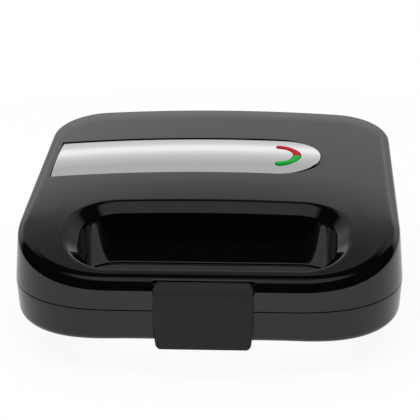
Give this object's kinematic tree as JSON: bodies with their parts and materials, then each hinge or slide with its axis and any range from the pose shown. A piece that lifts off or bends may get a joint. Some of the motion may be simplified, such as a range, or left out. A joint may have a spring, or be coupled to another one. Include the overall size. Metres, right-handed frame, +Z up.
{
  "type": "sandwich toaster",
  "caption": "Countertop sandwich toaster with a hinged lid, a hand opening through the front, triangular non-stick pockets and a flip latch.",
  "frame": {"origin": "centre of the footprint box on the table, under the feet", "axes": "+X to the toaster's right seen from the front, +Y from the latch to the hinge, +Z up"},
  "size_m": [0.23, 0.2522, 0.0858],
  "materials": {
    "gloss_black": "glossy black moulded plastic",
    "matte_black": "satin black plastic",
    "non_stick": "dark non-stick coating on cast aluminium",
    "heater_steel": "heat-tinted steel tube",
    "bright_sheet": "bright rolled sheet",
    "screw_steel": "plain zinc-plated steel",
    "ceramic": "off-white steatite",
    "black_rubber": "soft matt rubber",
    "satin_silver": "satin silver",
    "red_lens": "clear red plastic",
    "green_lens": "clear green plastic",
    "board": "phenolic board",
    "lamp_glass": "clear glass with a neon fill"
  },
  "bodies": {
    "base": {"base_housing": "gloss_black", "lower_plate": "non_stick", "lower_heater": "heater_steel", "lower_reflector": "bright_sheet", "lower_plate_screws": "screw_steel", "thermal_fuse": "ceramic", "terminal_block": "ceramic", "cord_gland": "black_rubber", "cord_clamp": "matte_black", "cord_clamp_screws": "screw_steel", "foot_front_left": "black_rubber", "foot_front_right": "black_rubber", "foot_rear_left": "black_rubber", "foot_rear_right": "black_rubber", "hinge_pin_left": "screw_steel", "hinge_pin_right": "screw_steel"},
    "lid": {"lid_housing": "gloss_black", "trim_strip": "satin_silver", "power_lens": "red_lens", "ready_lens": "green_lens", "lamp_board": "board", "lamp_board_screws": "screw_steel", "power_lamp": "lamp_glass", "ready_lamp": "lamp_glass", "upper_plate": "non_stick", "upper_heater": "heater_steel", "upper_reflector": "bright_sheet", "upper_plate_screws": "screw_steel", "thermostat": "ceramic", "latch_pin": "screw_steel"},
    "latch": {"latch": "matte_black"}
  },
  "joints": [
    {"name": "lid_hinge", "type": "hinge", "parent": "base", "child": "lid", "pos_m": [0, 0.12035, 0.04], "axis": [-1, 0, 0], "range_deg": [0, 105]},
    {"name": "latch_hinge", "type": "hinge", "parent": "lid", "child": "latch", "pos_m": [0, -0.11805, 0.0532], "axis": [-1, 0, 0], "range_deg": [-4, 85]}
  ]
}
